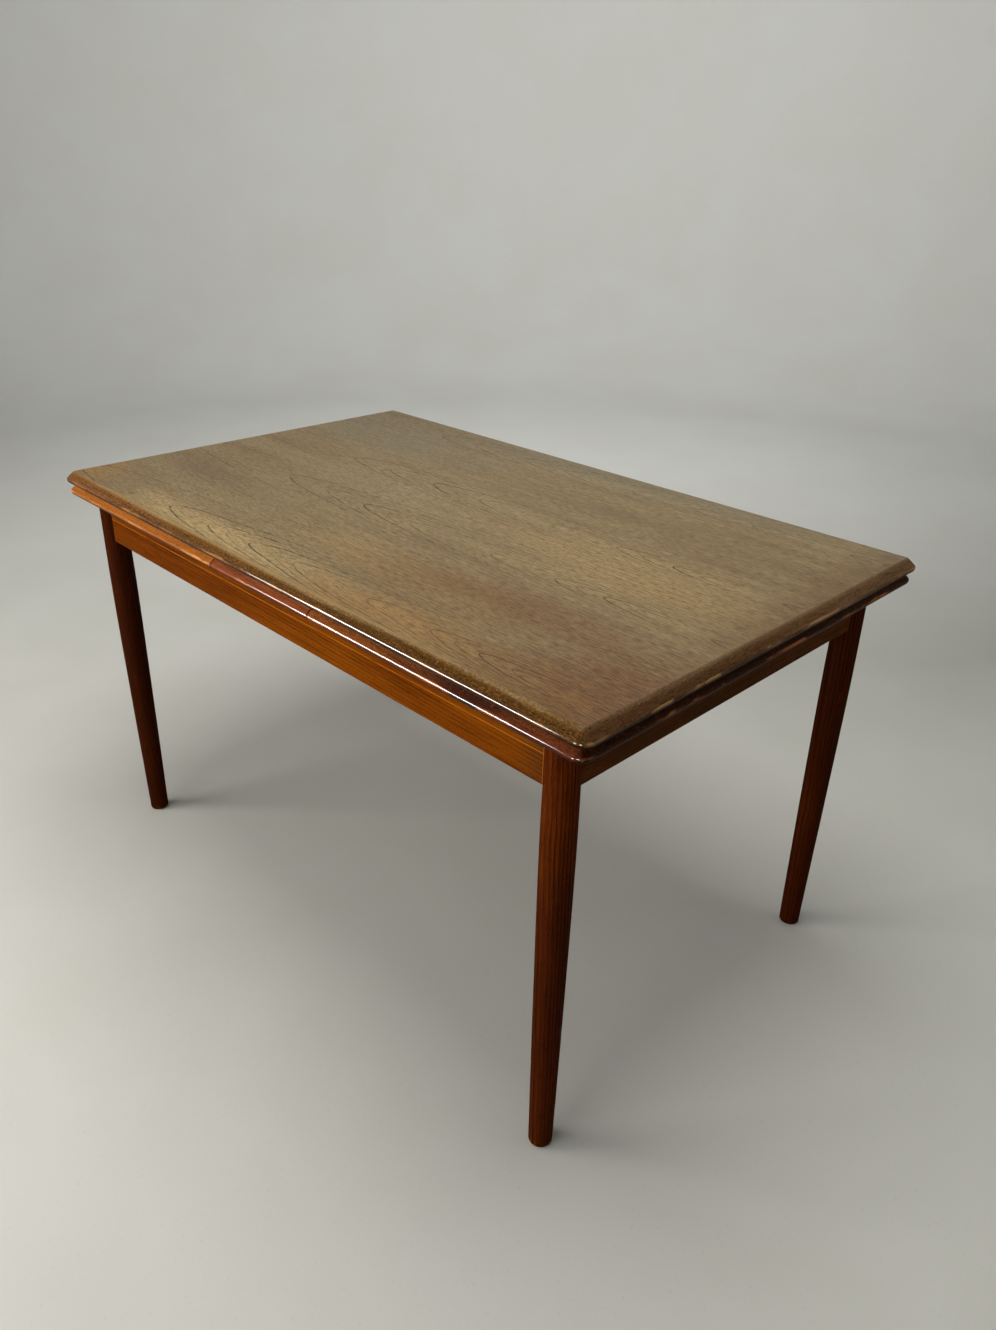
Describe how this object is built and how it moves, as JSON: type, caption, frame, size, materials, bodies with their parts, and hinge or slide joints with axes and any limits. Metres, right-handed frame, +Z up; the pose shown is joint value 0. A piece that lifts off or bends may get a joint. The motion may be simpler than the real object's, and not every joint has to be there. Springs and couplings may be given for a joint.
{
  "type": "extendable dining table",
  "caption": "Rectangular draw-leaf dining table: a loose bevelled top lies over two leaves that slide out of the ends of an apron frame on round tapered legs.",
  "frame": {"origin": "on the floor, under the middle of the table with the leaves in", "axes": "+X along the length, +Y towards the back, +Z up"},
  "size_m": [1.3, 0.8, 0.75],
  "materials": {
    "top_veneer": "worn satin oiled teak veneer",
    "top_lipping": "satin oiled solid teak",
    "leaf_veneer": "satin oiled teak veneer",
    "leaf_lipping": "satin lacquered solid teak",
    "apron_teak": "satin lacquered teak",
    "leg_teak": "satin lacquered solid teak",
    "beech": "unfinished beech",
    "steel": "zinc-plated steel",
    "nylon": "moulded nylon"
  },
  "bodies": {
    "frame": {"leg_front_left": "leg_teak", "leg_front_right": "leg_teak", "leg_back_left": "leg_teak", "leg_back_right": "leg_teak", "foot_glide_front_left": "nylon", "foot_glide_front_right": "nylon", "foot_glide_back_left": "nylon", "foot_glide_back_right": "nylon", "apron_front": "apron_teak", "apron_back": "apron_teak", "apron_left": "apron_teak", "apron_right": "apron_teak", "corner_block_front_left": "beech", "corner_block_front_right": "beech", "corner_block_back_left": "beech", "corner_block_back_right": "beech", "hanger_bolt_front_left": "steel", "hanger_bolt_front_right": "steel", "hanger_bolt_back_left": "steel", "hanger_bolt_back_right": "steel", "wing_nut_front_left": "steel", "wing_nut_front_right": "steel", "wing_nut_back_left": "steel", "wing_nut_back_right": "steel", "cross_bearer_left": "beech", "cross_bearer_right": "beech", "centre_board": "leaf_veneer", "centre_lipping_front": "leaf_lipping", "centre_lipping_back": "leaf_lipping"},
    "top": {"top_panel": "top_veneer", "top_lipping_front": "top_lipping", "top_lipping_back": "top_lipping", "top_lipping_left": "top_lipping", "top_lipping_right": "top_lipping", "guide_peg_front": "beech", "guide_peg_back": "beech", "peg_stop_front": "beech", "peg_stop_back": "beech"},
    "leaf_left": {"leaf_left_panel": "leaf_veneer", "leaf_left_lipping_outer": "leaf_lipping", "leaf_left_lipping_front": "leaf_lipping", "leaf_left_lipping_back": "leaf_lipping", "leaf_left_lipping_inner": "leaf_lipping", "leaf_left_runner_front": "beech", "leaf_left_runner_back": "beech", "leaf_left_stop_front": "beech", "leaf_left_stop_back": "beech"},
    "leaf_right": {"leaf_right_panel": "leaf_veneer", "leaf_right_lipping_outer": "leaf_lipping", "leaf_right_lipping_front": "leaf_lipping", "leaf_right_lipping_back": "leaf_lipping", "leaf_right_lipping_inner": "leaf_lipping", "leaf_right_runner_front": "beech", "leaf_right_runner_back": "beech", "leaf_right_stop_front": "beech", "leaf_right_stop_back": "beech"}
  },
  "joints": [
    {"name": "top_lift", "type": "slide", "parent": "frame", "child": "top", "axis": [0, 0, 1], "range_m": [0, 0.0257]},
    {"name": "leaf_left_slide", "type": "slide", "parent": "frame", "child": "leaf_left", "axis": [-1, 0, 0], "range_m": [0, 0.52]},
    {"name": "leaf_right_slide", "type": "slide", "parent": "frame", "child": "leaf_right", "axis": [1, 0, 0], "range_m": [0, 0.52]}
  ]
}
